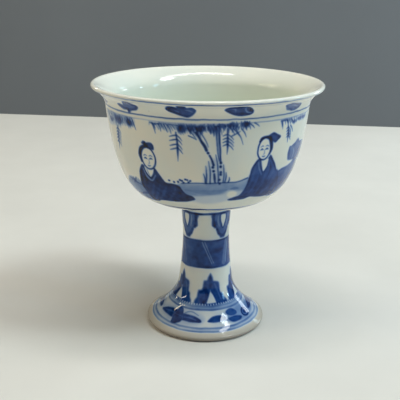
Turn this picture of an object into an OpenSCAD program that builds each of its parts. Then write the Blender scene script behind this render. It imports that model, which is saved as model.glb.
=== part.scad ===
// Stem cup: a thrown porcelain bowl luted onto a hollow stem with a spreading foot.
// The foot stands on z = 0 and the axis of the cup is the Z axis. Sizes are in millimetres.

/* [Overall] */
// Diameter of the rim, over the glaze
rim_d = 100; // [94:0.5:112]
// Height of the cup, from the table to the top of the lip
cup_h = 111.2; // [105:0.2:120]

/* [Bowl] */
// Height of the underside of the bowl where it sits on the stem
bowl_seat_h = 58.7; // [54:0.1:62]
// Outside diameter of the bowl at the throat, under the flared lip
throat_d = 88.4; // [84:0.2:92]
// Distance from the top of the lip down to the throat
throat_drop = 8.2; // [6:0.1:10]
// Length of the nearly level run of the underside before it turns up
belly_reach = 20; // [14:0.2:24]
// Length of the nearly straight run of the wall below the throat
wall_run = 35.4; // [26:0.2:37]
// Outward lean of the wall at the throat, in degrees
wall_lean = 7; // [2:0.2:12]
// Length over which the throat turns out into the lip
throat_run = 3.3; // [2:0.1:4.5]
// Outward lean of the lip, in degrees
lip_lean = 63; // [35:1:65]
// Length of the straight part of the lip
lip_run = 2.3; // [1:0.1:3]
// Thickness of the lip, over the glaze
lip_t = 1.9; // [1.1:0.05:2.2]
// Thickness of the bowl wall at the throat, over the glaze
bowl_wall_t = 2.6; // [2:0.1:3.6]
// Thickness of the bowl floor, over the glaze
bowl_floor_t = 4.4; // [3:0.1:6]

/* [Stem] */
// Diameter of the stem under the bowl
stem_top_d = 22.6; // [20:0.1:26]
// Diameter of the stem at its narrowest place
stem_waist_d = 21.2; // [19:0.1:24]
// Height of the narrowest place
stem_waist_h = 42.5; // [38:0.2:47]
// Diameter of the stem where the foot starts to spread
stem_low_d = 24.6; // [22:0.1:28]
// Height where the foot starts to spread
stem_low_h = 20.2; // [17:0.1:24]
// Taper of the stem where the foot starts to spread, in degrees
stem_taper = 7; // [2:0.1:10]
// Diameter of the hollow inside the stem
stem_bore_d = 14; // [11:0.1:15]
// Height of the joint between the stem and the foot
stem_joint_h = 29.4; // [26:0.2:34]

/* [Foot] */
// Diameter of the foot at its widest place
foot_d = 54.4; // [51:0.2:60]
// Height of the widest place
foot_edge_h = 1.7; // [1.3:0.1:2.6]
// Radius of the rounding above the widest place
foot_edge_round = 0.5; // [0.4:0.1:1.6]
// Slope of the foot just inside its edge, in degrees
foot_slope = 29; // [20:1:36]
// Length of the nearly straight run of that slope
foot_run = 5.6; // [3:0.2:9]
// Length over which the stem turns out into the foot
foot_turn = 7.5; // [5:0.1:10]
// Outside diameter of the flat ring that the cup stands on
rest_d = 48.4; // [45:0.2:50]
// Width of that ring
rest_w = 2.4; // [1.6:0.1:3.4]

/* [Glaze and luting] */
// Thickness of the glaze
glaze_t = 0.35; // [0.2:0.05:0.5]
// Height of the bare edge of the foot, which the glaze stops short of
bare_edge_h = 0.8; // [0.5:0.1:1.2]
// Height of the collar of slip that joins the bowl to the stem
seat_slip_h = 1.6; // [1:0.1:2.4]
// Thickness of the layer of slip that joins the stem to the foot
stem_slip_t = 0.8; // [0.5:0.1:1.4]

/* [Hidden] */
$fn = 128;

// Number of straight steps in a long curve and in a small rounding
curve_steps = 22;
round_steps = 8;

// Points of a curve with two control points, from start to finish
function bezier(start, leave, arrive, finish) = [
    for (i = [0 : curve_steps])
        let (t = i / curve_steps, u = 1 - t)
            u * u * u * start + 3 * u * u * t * leave + 3 * u * t * t * arrive + t * t * t * finish
];

// Points of an arc of an ellipse, between two angles in degrees
function arc(centre, half_w, half_h, from, to) = [
    for (i = [0 : round_steps])
        let (a = from + (to - from) * i / round_steps)
            centre + [half_w * cos(a), half_h * sin(a)]
];

// A path joined from curves that each start where the last one ends
function joined(curves) = [
    for (c = [0 : len(curves) - 1])
        for (i = [(c == 0 ? 0 : 1) : len(curves[c]) - 1])
            curves[c][i]
];

function reversed(path) = [for (i = [len(path) - 1 : -1 : 0]) path[i]];
function part_of(path, first, last) = [for (i = [first : last]) path[i]];
function unit(v) = v / norm(v);

// Direction of a path at one of its points
function heading(path, i) = unit(
    (i > 0 ? unit(path[i] - path[i - 1]) : [0, 0])
    + (i < len(path) - 1 ? unit(path[i + 1] - path[i]) : [0, 0])
);

// The path moved outwards, square to itself
function outset(path, distance) = [
    for (i = [0 : len(path) - 1])
        let (along = heading(path, i))
            path[i] + distance * [along.y, -along.x]
];

// Radius of a rising path at a height, and the stretch of it between two heights
function radius_at(path, height) = lookup(height, [for (p = path) [p.y, p.x]]);
function between(path, low, high) = concat(
    [[radius_at(path, low), low]],
    [for (p = path) if (p.y > low && p.y < high) p],
    [[radius_at(path, high), high]]
);

// Bare clay surfaces lie one glaze thickness inside the finished sizes
foot_r = foot_d / 2 - glaze_t;
rest_r = rest_d / 2;
rest_inner_r = rest_r - rest_w;
stem_low_r = stem_low_d / 2 - glaze_t;
stem_waist_r = stem_waist_d / 2 - glaze_t;
stem_top_r = stem_top_d / 2 - glaze_t;
bore_r = stem_bore_d / 2;
throat = [throat_d / 2 - glaze_t, cup_h - throat_drop];
inner_throat = [throat_d / 2 - bowl_wall_t + glaze_t, throat.y];
under_h = bowl_seat_h + glaze_t;
floor_h = bowl_seat_h + bowl_floor_t - glaze_t;
stem_top_h = bowl_seat_h - seat_slip_h;
seat_r = stem_top_d / 2 + seat_slip_h;

// Directions of the wall, the lip and the foot, as [outwards, up]
wall_up = [sin(wall_lean), cos(wall_lean)];
lip_up = [sin(lip_lean), cos(lip_lean)];
lip_side = [cos(lip_lean), -sin(lip_lean)];
foot_up = [-cos(foot_slope), sin(foot_slope)];
taper_down = [sin(stem_taper), -cos(stem_taper)];

// Foot: the bare edge, the rounded edge and the spread up to the stem
edge_centre = [rest_r, foot_edge_h];
bare_angle = asin((bare_edge_h - foot_edge_h) / foot_edge_h);
bare_edge = arc(edge_centre, foot_r - rest_r, foot_edge_h, -90, bare_angle);
low_edge = arc(edge_centre, foot_r - rest_r, foot_edge_h, bare_angle, 0);
round_centre = [foot_r - foot_edge_round, foot_edge_h];
high_edge = arc(round_centre, foot_edge_round, foot_edge_round, 0, 90 - foot_slope);
spread_start = high_edge[round_steps];
spread_end = [stem_low_r, stem_low_h];
spread = bezier(
    spread_start, spread_start + foot_run * foot_up,
    spread_end + foot_turn * taper_down, spread_end
);

// Stem: from the foot to its waist, from there to its top, and the collar under the bowl
low_third = (stem_waist_h - stem_low_h) / 3;
high_third = (stem_top_h - stem_waist_h) / 3;
stem_low = bezier(
    spread_end, spread_end - low_third * taper_down,
    [stem_waist_r, stem_waist_h - low_third], [stem_waist_r, stem_waist_h]
);
stem_high = bezier(
    [stem_waist_r, stem_waist_h], [stem_waist_r, stem_waist_h + high_third],
    [stem_top_r, stem_top_h - high_third], [stem_top_r, stem_top_h]
);
collar_r = seat_slip_h + glaze_t;
collar = arc([seat_r, stem_top_h], collar_r, collar_r, 180, 90);

// Bowl: the outside, the rounded lip and the inside down to the middle of the floor
wall_outside = bezier(
    [seat_r, under_h], [seat_r + belly_reach, under_h],
    throat - wall_run * wall_up, throat
);
lip_centre = [rim_d / 2 - lip_t / 2, cup_h - lip_t / 2];
lip_r = lip_t / 2 - glaze_t;
lip_outside = bezier(
    throat, throat + throat_run * wall_up,
    lip_centre + lip_r * lip_side - lip_run * lip_up, lip_centre + lip_r * lip_side
);
lip_outer_round = arc(lip_centre, lip_r, lip_r, -lip_lean, 90 - lip_lean);
lip_inner_round = arc(lip_centre, lip_r, lip_r, 90 - lip_lean, 180 - lip_lean);
lip_inside = bezier(
    lip_centre - lip_r * lip_side, lip_centre - lip_r * lip_side - lip_run * lip_up,
    inner_throat + throat_run * wall_up, inner_throat
);
wall_inside = bezier(
    inner_throat, inner_throat - wall_run * wall_up,
    [seat_r + belly_reach, floor_h], [seat_r, floor_h]
);

// The clay surface under each coat of glaze, and the face of the glaze over all of it
stem_side = joined([low_edge, high_edge, spread, stem_low, stem_high, collar]);
bowl_outside = joined([wall_outside, lip_outside, lip_outer_round]);
bowl_inside = joined([lip_inner_round, lip_inside, wall_inside, [[seat_r, floor_h], [0, floor_h]]]);
clay_face = joined([stem_side, bowl_outside, bowl_inside]);
glaze_face = outset(clay_face, glaze_t);
bowl_first = len(stem_side) - 1;
rim_index = bowl_first + len(bowl_outside) - 1;
floor_index = len(clay_face) - 1;

// The hollow under the foot and inside the stem
hollow_start = [rest_inner_r, 0];
hollow_end = [bore_r, stem_low_h];
hollow = joined([
    bezier(
        hollow_start, hollow_start + foot_run * foot_up,
        hollow_end + foot_turn * taper_down, hollow_end
    ),
    [hollow_end, [bore_r, under_h]]
]);

module turned(outline) {
    rotate_extrude() polygon(outline);
}

// A ring of clay between two heights, from the hollow out to the clay surface
module hollow_turning(low, high) {
    turned(concat(between(stem_side, low, high), reversed(between(hollow, low, high))));
}

// A coat of glaze over one stretch of the clay surface
module glaze_coat(first, last) {
    turned(concat(part_of(glaze_face, first, last), reversed(part_of(clay_face, first, last))));
}

module bowl() {
    color("ivory") turned(concat(joined([bowl_outside, bowl_inside]), [[0, under_h]]));
}

module stem() {
    color("ivory") hollow_turning(stem_joint_h + stem_slip_t, stem_top_h);
}

module foot() {
    color("antiquewhite") turned(concat(
        joined([bare_edge, between(stem_side, bare_edge_h, stem_joint_h)]),
        reversed(between(hollow, 0, stem_joint_h))
    ));
}

module bowl_luting_ring() {
    color("linen") turned(concat([[bore_r, stem_top_h]], collar, [[bore_r, under_h]]));
}

module stem_luting_ring() {
    color("linen") hollow_turning(stem_joint_h, stem_joint_h + stem_slip_t);
}

module bowl_inner_glaze() {
    color("honeydew") glaze_coat(rim_index, floor_index);
}

module bowl_outer_glaze() {
    color("lavender") glaze_coat(bowl_first, rim_index);
}

module stem_glaze() {
    color("steelblue") glaze_coat(0, bowl_first);
}

bowl();
stem();
foot();
bowl_luting_ring();
stem_luting_ring();
bowl_inner_glaze();
bowl_outer_glaze();
stem_glaze();
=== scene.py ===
import math

import bpy
import numpy as np
from mathutils import Matrix


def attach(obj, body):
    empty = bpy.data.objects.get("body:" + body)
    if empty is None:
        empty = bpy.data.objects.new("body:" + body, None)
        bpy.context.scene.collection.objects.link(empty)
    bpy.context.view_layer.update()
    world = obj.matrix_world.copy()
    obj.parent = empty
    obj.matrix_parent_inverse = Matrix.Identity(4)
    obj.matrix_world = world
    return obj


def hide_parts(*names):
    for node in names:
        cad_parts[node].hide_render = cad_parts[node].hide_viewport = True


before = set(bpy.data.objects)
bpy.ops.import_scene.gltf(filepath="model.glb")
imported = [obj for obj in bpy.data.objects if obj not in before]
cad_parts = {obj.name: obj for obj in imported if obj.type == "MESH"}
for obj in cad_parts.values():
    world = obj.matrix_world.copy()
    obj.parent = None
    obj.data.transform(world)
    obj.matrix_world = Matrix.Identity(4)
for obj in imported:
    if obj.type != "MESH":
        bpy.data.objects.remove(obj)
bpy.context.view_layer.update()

# A porcelain stem cup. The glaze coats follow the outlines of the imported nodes, and are painted stroke by
# stroke. A place in the painting is (turn, down): degrees to the right of the front, and millimetres
# along the outline, from the lip on the bowl and from the seat of the bowl on the stem.

MM = 0.001
BOWL_COLUMNS, STEM_COLUMNS, INSIDE_COLUMNS = 1080, 640, 480
CORNER_TURN = 60  # degrees; a sharper bend of an outline is the edge of a coat
CURVE_STEPS = 6  # points between two given points of a brush line
FIRING_SEED = 5
HALO = 0.11  # share of the cobalt that goes into a halo
# Lengths in millimetres
RING_STEP = 0.28  # between the rings of a painted coat
SEAM_REACH = 1e-4  # that a point of a seam may lie beside it
BOWL_START, STEM_START = 0.45, 0.17  # from the edge of a coat to where its painting is counted from
SOFTNESS = 0.3  # over which the edge of a stroke fades
RIM_WIDTH = 0.7  # over which cobalt gathers at the edge of a wash
EDGE_WAVER = 0.13  # that an edge strays in the firing
WAVER_LENGTH = 1.2  # over which it strays to and fro
UNEVENNESS = [(0.07, 2.4), (0.06, 0.6)]  # shares by which washes turn uneven, each over a length
BLEED = 0.13  # that cobalt runs into the glaze around it
HALO_WIDTH = 1.5  # that a faint halo reaches beyond that


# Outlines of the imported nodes

def seam_outline(name):
    """The outline of a turned node, as (radius, height) in millimetres."""
    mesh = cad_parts[name].data
    places = np.array([vertex.co for vertex in mesh.vertices]) / MM
    on_seam = (np.abs(places[:, 1]) < SEAM_REACH) & (places[:, 0] > -SEAM_REACH)
    keys = [tuple(place) for place in places[:, [0, 2]].round(4)]
    neighbours = {}
    for edge in mesh.edges:
        first, second = edge.vertices
        if on_seam[first] and on_seam[second] and keys[first] != keys[second]:
            neighbours.setdefault(keys[first], set()).add(keys[second])
            neighbours.setdefault(keys[second], set()).add(keys[first])
    ends = [key for key in neighbours if len(neighbours[key]) == 1]
    chain = [min(ends or neighbours)]
    while onward := neighbours[chain[-1]].difference(chain):
        chain.append(min(onward))
    return np.array(chain)


def lengths_along(line):
    """How far along a line each point lies."""
    return np.concatenate([[0], np.cumsum(np.hypot(*np.diff(line, axis=0).T))])


def coat_faces(name):
    """The shown and the hidden face of an open-ended coat, from the upper end down."""
    outline = seam_outline(name)
    steps = np.roll(outline, -1, axis=0) - outline
    heading = np.degrees(np.arctan2(steps[:, 1], steps[:, 0]))
    bend = (heading - np.roll(heading, 1) + 180) % 360 - 180
    corners = np.nonzero(np.abs(bend) > CORNER_TURN)[0]
    stretches = []
    for first, last in zip(corners, np.roll(corners, -1)):
        count = (last - first) % len(outline)
        stretch = outline[(first + np.arange(count + 1)) % len(outline)]
        stretches.append(stretch if stretch[0, 1] > stretch[-1, 1] else stretch[::-1])
    longest = sorted(stretches, key=lambda line: -lengths_along(line)[-1])[:2]
    return sorted(longest, key=lambda line: -line[:, 0].max())


def inside_faces(name):
    """The shown face of the coat inside the bowl, from the middle up, and the hidden one."""
    outline = seam_outline(name)
    lip = np.argmax(outline[:, 0])
    shown, hidden = outline[:lip + 1], outline[lip + 1:]
    return np.vstack([[0, shown[0, 1]], shown]), np.vstack([hidden, [0, hidden[-1, 1]]])


def smooth_line(points, closed=False):
    """A smooth line through the points."""
    points = np.asarray(points, float)
    if closed:
        padded = np.vstack([points[-1:], points, points[:2]])
    else:
        padded = np.vstack([2 * points[0] - points[1], points, 2 * points[-1] - points[-2]])
    share = np.linspace(0, 1, CURVE_STEPS, endpoint=False)[:, None]
    pieces = []
    for before, first, last, after in zip(padded, padded[1:], padded[2:], padded[3:]):
        bend = 2 * before - 5 * first + 4 * last - after
        twist = 3 * (first - last) + after - before
        pieces.append(first + 0.5 * share * (last - before + share * (bend + share * twist)))
    return np.vstack(pieces if closed else pieces + [points[-1:]])


def even_line(points, step):
    """A smooth line through the points, at even steps."""
    fine = smooth_line(points)
    along = lengths_along(fine)
    places = np.linspace(0, along[-1], round(along[-1] / step) + 1)
    return np.column_stack([np.interp(places, along, fine[:, axis]) for axis in (0, 1)])


# The brush

class Painting:
    """How dense cobalt lies at each ring and column of a face, from 0 to 1."""

    def __init__(self, face, columns, start):
        self.down = lengths_along(face) - start
        self.radius = face[:, 0]
        self.columns = columns
        self.density = np.zeros((len(face), columns))

    def patch(self, points, reach):
        """The part of the grid near some points, and both in millimetres across and down."""
        middle = (points[:, 0].min() + points[:, 0].max()) / 2
        near = (self.down > points[:, 1].min() - reach) & (self.down < points[:, 1].max() + reach)
        rings = np.nonzero(near)[0]
        step = 360 / self.columns
        half = np.ptp(points[:, 0]) / 2 + math.degrees(reach / self.radius[rings].min())
        columns = np.arange(math.floor((middle - half) / step), math.ceil((middle + half) / step) + 1)
        across = np.radians(columns * step - middle) * self.radius[rings][:, None]
        down = np.broadcast_to(self.down[rings][:, None], across.shape)
        at_points = np.radians(points[:, 0] - middle) * np.interp(points[:, 1], self.down, self.radius)
        flat = np.column_stack([at_points, points[:, 1]])
        return np.ix_(rings, columns % self.columns), np.stack([across, down], -1), flat

    def lay(self, cells, density):
        """Adds cobalt over what is there."""
        self.density[cells] = 1 - (1 - self.density[cells]) * (1 - density)

    def ring(self, down, width, ink, fade=0, waver=0.05):
        """A line around the cup, a little uneven; fade is the share that is missing at its sides."""
        turn = np.linspace(0, 2 * math.pi, self.columns, endpoint=False)
        place = down + waver * (np.sin(2 * turn + down) + 0.6 * np.sin(5 * turn + 2 * down))
        strength = ink * (1 + 0.18 * np.sin(3 * turn + 1.7 * down) + 0.1 * np.sin(11 * turn + down))
        strength *= 1 - fade * np.sin(turn) ** 2
        cover = (width / 2 - np.abs(self.down[:, None] - place)) / SOFTNESS + 0.5
        self.lay(..., np.clip(cover, 0, 1) * np.clip(strength, 0, 1))

    def blurred(self, field, width):
        """A field softened over some millimetres."""
        waves = np.arange(self.columns // 2 + 1)
        fade = np.exp(-0.5 * (waves * width / self.radius[:, None]) ** 2)
        across = np.fft.irfft(np.fft.rfft(field, axis=1) * fade, self.columns, axis=1)
        near = np.exp(-0.5 * ((self.down[:, None] - self.down) / width) ** 2)
        return near / near.sum(axis=1, keepdims=True) @ across

    def cloudiness(self, chance, width):
        """Chance values, -1 to 1, that change over some millimetres."""
        field = self.blurred(chance.standard_normal(self.density.shape), width)
        return np.clip(field / (2 * field.std(axis=1, keepdims=True)), -1, 1)

    def sampled(self, rings, columns):
        """The cobalt between rings and columns."""
        ring = np.clip(np.floor(rings).astype(int), 0, len(self.down) - 2)
        column = np.floor(columns).astype(int)
        lower_share = np.clip(rings - ring, 0, 1)
        right_share = columns - column
        left, right = column % self.columns, (column + 1) % self.columns
        upper, lower = (self.density[row, left] * (1 - right_share) + self.density[row, right] * right_share
                        for row in (ring, ring + 1))
        return upper * (1 - lower_share) + lower * lower_share

    def fire(self, seed):
        """Lets edges waver and bleed, washes turn uneven and a halo run out."""
        chance = np.random.default_rng(seed)
        column_step = 2 * math.pi * self.radius[:, None] / self.columns
        down, across = (EDGE_WAVER * self.cloudiness(chance, WAVER_LENGTH) for _ in range(2))
        rings = np.arange(len(self.down))[:, None] + down / RING_STEP
        moved = self.sampled(rings, np.arange(self.columns) + across / column_step)
        uneven = 1 + sum(share * self.cloudiness(chance, width) for share, width in UNEVENNESS)
        run = self.blurred(moved * uneven, BLEED)
        halo = HALO * self.blurred(moved, HALO_WIDTH)
        self.density = np.clip(run + halo * (1 - run), 0, 1)


def nearest_on(grid, first, last):
    """How far grid points lie from a straight line, and beside which share of it."""
    way = last - first
    share = np.clip(((grid - first) @ way) / max(way @ way, 1e-9), 0, 1)
    return np.linalg.norm(grid - first - share[..., None] * way, axis=-1), share


def line_cover(grid, line, widths):
    """How much of each grid point a line of some widths covers."""
    cover = np.zeros(grid.shape[:2])
    for first, last, thick, thin in zip(line, line[1:], widths, widths[1:]):
        away, share = nearest_on(grid, first, last)
        half = (thick + share * (thin - thick)) / 2
        np.maximum(cover, np.clip((half - away) / SOFTNESS + 0.5, 0, 1), out=cover)
    return cover


def depth_inside(grid, loop):
    """How far each grid point lies inside a closed shape, less than 0 outside."""
    depth = np.full(grid.shape[:2], np.inf)
    inside = np.zeros(grid.shape[:2], bool)
    for first, last in zip(loop, np.roll(loop, -1, axis=0)):
        np.minimum(depth, nearest_on(grid, first, last)[0], out=depth)
        if first[1] != last[1]:
            crosses = (first[1] > grid[..., 1]) != (last[1] > grid[..., 1])
            where = first[0] + (grid[..., 1] - first[1]) / (last[1] - first[1]) * (last[0] - first[0])
            inside ^= crosses & (grid[..., 0] < where)
    return np.where(inside, depth, -depth)


class Brush:
    """A painting seen from one place on it, from which points are given; side -1 mirrors them."""

    def __init__(self, painting, turn=0, down=0, side=1, seed=1):
        self.painting = painting
        self.place = np.array([turn, down])
        self.scale = np.array([side, 1])
        self.chance = np.random.default_rng(seed)

    def at(self, turn, down=0):
        """A brush at a place given from this one."""
        place = self.place + self.scale * (turn, down)
        return Brush(self.painting, *place, self.scale[0], int(self.chance.integers(1 << 30)))

    def patch(self, points, reach, closed=False):
        """The part of the grid around a smooth line."""
        return self.painting.patch(smooth_line(self.place + self.scale * points, closed), reach)

    def line(self, points, widths):
        """The cells near a brush line, and how much it covers; widths are spread along it."""
        steps = np.linspace(0, 1, (len(points) - 1) * CURVE_STEPS + 1)
        widths = np.interp(steps, np.linspace(0, 1, len(widths)), widths)
        cells, grid, line = self.patch(points, widths.max() + SOFTNESS)
        return cells, line_cover(grid, line, widths)

    def shape(self, points, reach):
        """The cells near a closed shape, and how deep inside it they lie."""
        cells, grid, loop = self.patch(points, reach, closed=True)
        return cells, depth_inside(grid, loop)

    def stroke(self, points, widths, ink):
        cells, cover = self.line(points, widths)
        self.painting.lay(cells, ink * cover)

    def lift(self, points, widths, share):
        """A line that takes away a share of the cobalt."""
        cells, cover = self.line(points, widths)
        self.painting.density[cells] *= 1 - share * cover

    def wash(self, points, ink, soft=SOFTNESS, rim=0):
        """A filled shape; rim is how much more cobalt runs to its edge."""
        cells, depth = self.shape(points, soft + RIM_WIDTH)
        cover = np.clip(depth / soft + 0.5, 0, 1)
        edge = rim * np.exp(-(depth / RIM_WIDTH) ** 2)
        self.painting.lay(cells, np.clip(cover * (ink + edge), 0, 1))

    def clear(self, points, share=1, soft=SOFTNESS):
        """A shape that takes away a share of the cobalt."""
        cells, depth = self.shape(points, soft)
        self.painting.density[cells] *= 1 - share * np.clip(depth / soft + 0.5, 0, 1)

    def oval(self, middle, half_turn, half_down, ink, **how):
        self.wash(oval_points(middle, half_turn, half_down), ink, **how)


def oval_points(middle, half_turn, half_down, count=14):
    """Points around an oval."""
    ways = np.linspace(0, 2 * math.pi, count, endpoint=False)
    return [(middle[0] + half_turn * math.sin(way), middle[1] - half_down * math.cos(way)) for way in ways]


# What is painted on the bowl

MIDDLE = 0.55  # how strong the cobalt is in the lines of a cloud
FRINGE_TOP = 11.4  # millimetres down to the line that leaves hang from
LEAF_STEP = 0.9  # degrees between hanging leaves
MASS_LEAVES = 11


def tailed_cloud(brush):
    """A cloud with a tail to the left and a drop below."""
    brush.wash([(-8.5, 6.2), (-6, 5.4), (-3.5, 5.8), (-1.5, 3.6), (2, 3.1), (5, 4.2), (7.2, 5), (7, 6.3),
        (5, 7.6), (1.5, 8.2), (0, 9), (-1.5, 9.1), (-2, 8.2), (-5, 8.2), (-8, 7.2)], 0.66, rim=0.1)
    brush.stroke([(-7.6, 6.4), (-5.6, 6.8), (-3.6, 7.2)], (0.8, 1.3, 0.6), MIDDLE)
    brush.stroke([(3, 4.6), (6.2, 5.4), (5, 6.8), (2.4, 7.4)], (0.5, 1.2, 1, 0.4), MIDDLE)
    brush.oval((-0.8, 8.2), 1, 0.8, MIDDLE)
    brush.stroke([(-1, 4.4), (1.6, 3.9), (4, 5)], (0.5, 1.3, 0.6), MIDDLE)
    brush.stroke([(-4.6, 7.4), (-1, 7.4), (3, 7.4)], (0.4, 0.9, 0.4), MIDDLE)
    brush.lift([(-1, 4.6), (1, 4.8), (3, 5.8)], (0.3, 0.7, 0.3), 0.3)


def broad_cloud(brush):
    """A cloud with three heads on a full belly."""
    brush.wash([(-8, 4.8), (-6.5, 2.8), (-4, 2.6), (-2, 3.4), (-1.6, 2.1), (2, 2.1), (2.5, 3.4), (5, 3),
        (6.7, 4.5), (6.5, 6), (5, 7.5), (2.5, 8.6), (0.5, 8.5), (-2, 7.8), (-4.5, 7), (-7, 6.2)], 0.86,
        rim=0.06)
    brush.oval((0.2, 2.9), 1.9, 0.9, 0.78)
    brush.stroke([(-6.8, 4.4), (-4.4, 3.8), (-2.4, 4.8)], (0.5, 0.9, 0.4), MIDDLE)
    brush.stroke([(-6.4, 5.8), (-3, 7.1), (1, 8.2), (4.6, 7.2)], (0.3, 0.7, 0.7, 0.3), MIDDLE)
    brush.lift([(1.6, 5), (3.6, 5.2), (5, 6)], (0.3, 0.9, 0.4), 0.3)
    brush.lift([(-3.6, 5.4), (-1.8, 6.2)], (0.3, 0.8), 0.25)


def curled_cloud(brush):
    """A cloud that curls in at its right end."""
    brush.wash([(-7.2, 4.5), (-5.5, 2.8), (-3, 2.3), (1, 2.2), (4, 2.6), (6, 4), (7.5, 5.5), (7.5, 7),
        (5.5, 7.8), (1, 8), (-2, 7.5), (-5, 6.3)], 0.82, rim=0.1)
    brush.stroke([(4, 3.2), (5.8, 4.2), (5.8, 5.4), (4.8, 5)], (0.5, 0.8, 0.8, 0.5), MIDDLE)
    brush.stroke([(-5, 3.4), (-2, 2.9), (1.6, 3.2)], (0.4, 0.9, 0.4), MIDDLE)
    brush.stroke([(-1.4, 6.6), (1.6, 6.8), (4.6, 7)], (0.4, 1.2, 0.5), MIDDLE)
    brush.lift([(2.8, 2.8), (3, 4.6), (4.4, 6.2), (6.4, 6.6)], (0.3, 0.6, 0.6, 0.3), 0.5)
    brush.lift([(-4.6, 3.6), (-2.2, 4.2), (-1.6, 5.8)], (0.3, 0.8, 0.3), 0.3)
    brush.stroke([(-6, 5.4), (-2, 7.2), (2, 7.8), (6, 7.4)], (0.3, 0.7, 0.7, 0.3), 0.45)


def drifting_cloud(brush):
    """A slanting cloud with a dark lower edge."""
    brush.wash([(-7, 4.2), (-5.5, 3.7), (-2.5, 3.5), (2.5, 4.4), (6.5, 5.5), (7, 7.4), (4.5, 8.2),
        (1.5, 8.3), (-1.5, 7.4), (-4.5, 6), (-6.5, 5)], 0.66, rim=0.15)
    brush.stroke([(-6.2, 5), (-3.4, 6.9), (0.6, 8.1)], (0.4, 1.1, 0.5), 0.6)
    brush.stroke([(-3.4, 4.2), (0.6, 4.6), (4.4, 5.6)], (0.4, 0.8, 0.4), MIDDLE)
    brush.stroke([(1.6, 6.6), (4, 7.4), (6.2, 6.8)], (0.4, 1, 0.5), MIDDLE)
    brush.lift([(-2, 4.8), (1, 5.6), (4.4, 6.6)], (0.3, 0.8, 0.4), 0.35)


def neck_band(brush):
    """Rings and a row of clouds under the lip."""
    # The first ring, just under the lip, is widened, darkened and fades at the sides: a painted ring and
    # painted shade under the lip together
    for ring in [(0.7, 0.46, 0.98, 0.9), (2.85, 0.4, 0.14, 0), (9.4, 0.34, 1, 0), (11.2, 0.26, 0.5, 0)]:
        brush.painting.ring(*ring)
    clouds = [(-43, tailed_cloud), (-12, broad_cloud), (15, curled_cloud), (47.5, drifting_cloud)]
    for around in (0, 120, 240):
        for turn, cloud in clouds:
            cloud(brush.at(turn + around))


def canopy(brush, fringes, breadth=0.45):
    """Leaves that hang from the line under the neck, as (left, right, reach, ink)."""
    chance = brush.chance
    for left, right, reach, ink in fringes:
        for place in np.arange(left, right, LEAF_STEP):
            lean = chance.uniform(0.6, 2.6) * chance.choice([1, 1, 1, -0.6])
            length = reach * chance.uniform(0.45, 1.1)
            top = FRINGE_TOP + chance.uniform(-0.1, 0.5)
            width = breadth * chance.uniform(0.66, 1.34)
            line = [(place, top), (place + 0.6 * lean, top + 0.5 * length), (place + lean, top + length)]
            brush.stroke(line, (0.7 * width, width, 0.15), ink * chance.uniform(0.6, 1.1))


def leaf_mass(brush, spots):
    """Blots of leaves, as (turn, down, half turn, half down, ink)."""
    chance = brush.chance
    for turn, down, half_turn, half_down, ink in spots:
        brush.oval((turn, down - 0.15 * half_down), 0.8 * half_turn, 0.75 * half_down, 0.6 * ink, soft=0.5)
        for share in np.linspace(-0.9, 0.9, MASS_LEAVES):
            root = (turn + share * half_turn, down - half_down * chance.uniform(0.3, 1))
            fall = half_down * chance.uniform(0.2, 1.3) * (1.1 - 0.6 * share ** 2)
            tip = (root[0] + chance.uniform(-0.3, 0.9), down + fall)
            brush.stroke([root, tip], (0.4, 0.7, 0.15), ink * chance.uniform(0.25, 0.75))


def leaf_rays(brush, rays, width, ink):
    """Single leaves, from roots to tips."""
    for root, tip in rays:
        middle = (0.5 * (root[0] + tip[0]) + 0.3, 0.5 * (root[1] + tip[1]))
        brush.stroke([root, middle, tip], (width, 0.9 * width, 0.4 * width), ink)


def frond(brush, length, lean, left, right, starts, breadth=0.5):
    """A hanging stem with barbs on both sides."""
    brush.stroke([(0, 0), (0.5 * lean + 0.3, 0.55 * length), (lean, length)], (0.45, 0.95, 0.15), 0.78)
    for start in starts:
        root = (0.3 + lean * start / length, start)
        brush.stroke([root, (root[0] - 0.5 * left, start + 0.3), (root[0] - left, start + 0.8)],
            (breadth, breadth, 0.5 * breadth), 0.74)
        brush.stroke([root, (root[0] + 0.6 * right, start + 1.2), (root[0] + right, start + 2.4)],
            (breadth, 0.9 * breadth, 0.4 * breadth), 0.66)


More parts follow.
